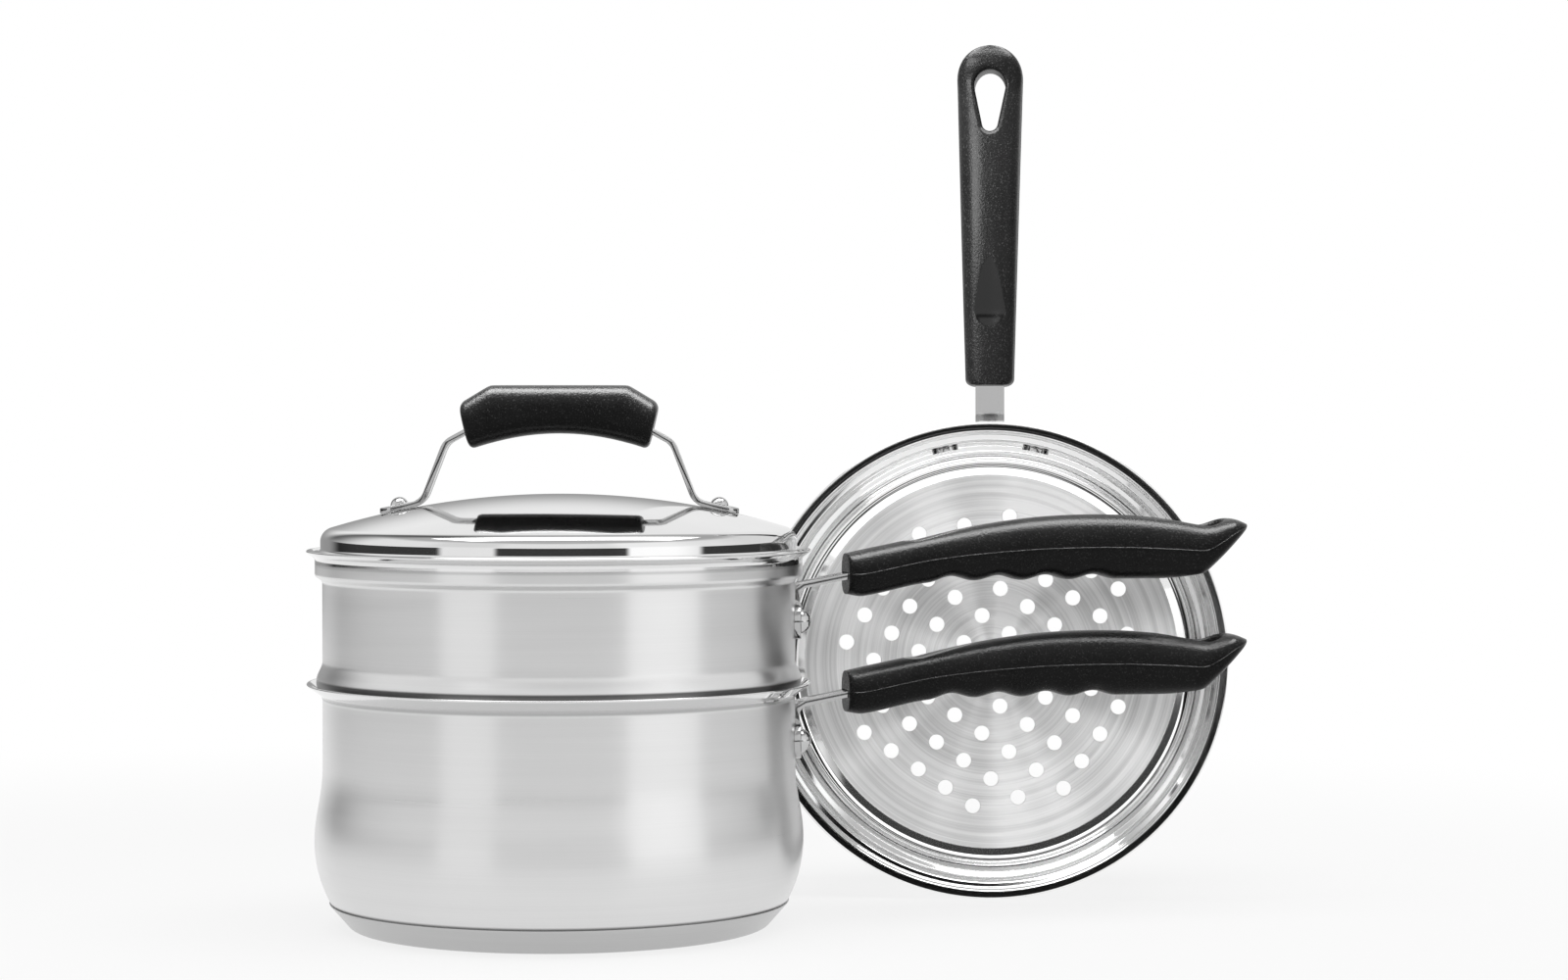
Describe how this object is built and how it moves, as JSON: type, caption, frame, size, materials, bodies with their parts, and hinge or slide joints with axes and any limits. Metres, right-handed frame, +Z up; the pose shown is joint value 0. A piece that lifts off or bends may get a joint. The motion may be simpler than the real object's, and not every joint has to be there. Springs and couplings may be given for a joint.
{
  "type": "double boiler",
  "caption": "Stainless double boiler: saucepan with a nested boiler insert and domed lid, and a perforated steamer insert standing on its side beside it.",
  "frame": {"origin": "middle of the saucepan's flat base, where the stack's axis meets the table", "axes": "+Z up along the stack's axis, +X along the long handles, +Y towards the back, where the steamer insert stands"},
  "size_m": [0.42, 0.2542, 0.3823],
  "materials": {
    "satin_steel": "satin stainless steel, finely brushed round the axis",
    "polished_steel": "mirror polished stainless steel",
    "bright_steel": "bright stainless steel, slightly softened by tumbling",
    "base_steel": "flat satin stainless steel, turned",
    "base_aluminium": "plain aluminium, sealed inside the base",
    "black_grip": "black phenolic with a fine moulded grain"
  },
  "bodies": {
    "saucepan": {"saucepan_pot": "satin_steel", "saucepan_base_disc": "base_aluminium", "saucepan_base_cap": "base_steel", "saucepan_handle_bracket": "bright_steel", "saucepan_rivets": "bright_steel", "saucepan_grip": "black_grip", "saucepan_grip_screw": "bright_steel"},
    "boiler_insert": {"boiler_insert_pan": "satin_steel", "boiler_insert_handle_bracket": "bright_steel", "boiler_insert_rivets": "bright_steel", "boiler_insert_grip": "black_grip", "boiler_insert_grip_screw": "bright_steel"},
    "lid": {"lid_cover": "polished_steel", "lid_handle_strap": "bright_steel", "lid_rivets": "bright_steel", "lid_grip": "black_grip"},
    "steamer_insert": {"steamer_insert_pan": "satin_steel", "steamer_insert_handle_bracket": "bright_steel", "steamer_insert_rivets": "bright_steel", "steamer_insert_grip": "black_grip", "steamer_insert_grip_screw": "bright_steel"}
  },
  "joints": [
    {"name": "insert_lift", "type": "slide", "parent": "saucepan", "child": "boiler_insert", "axis": [0, 0, 1], "range_m": [0, 0.12]},
    {"name": "lid_lift", "type": "slide", "parent": "boiler_insert", "child": "lid", "axis": [0, 0, 1], "range_m": [0, 0.1]},
    {"name": "steamer_lift", "type": "slide", "parent": "saucepan", "child": "steamer_insert", "axis": [0, 0, 1], "range_m": [0, 0.2]}
  ]
}
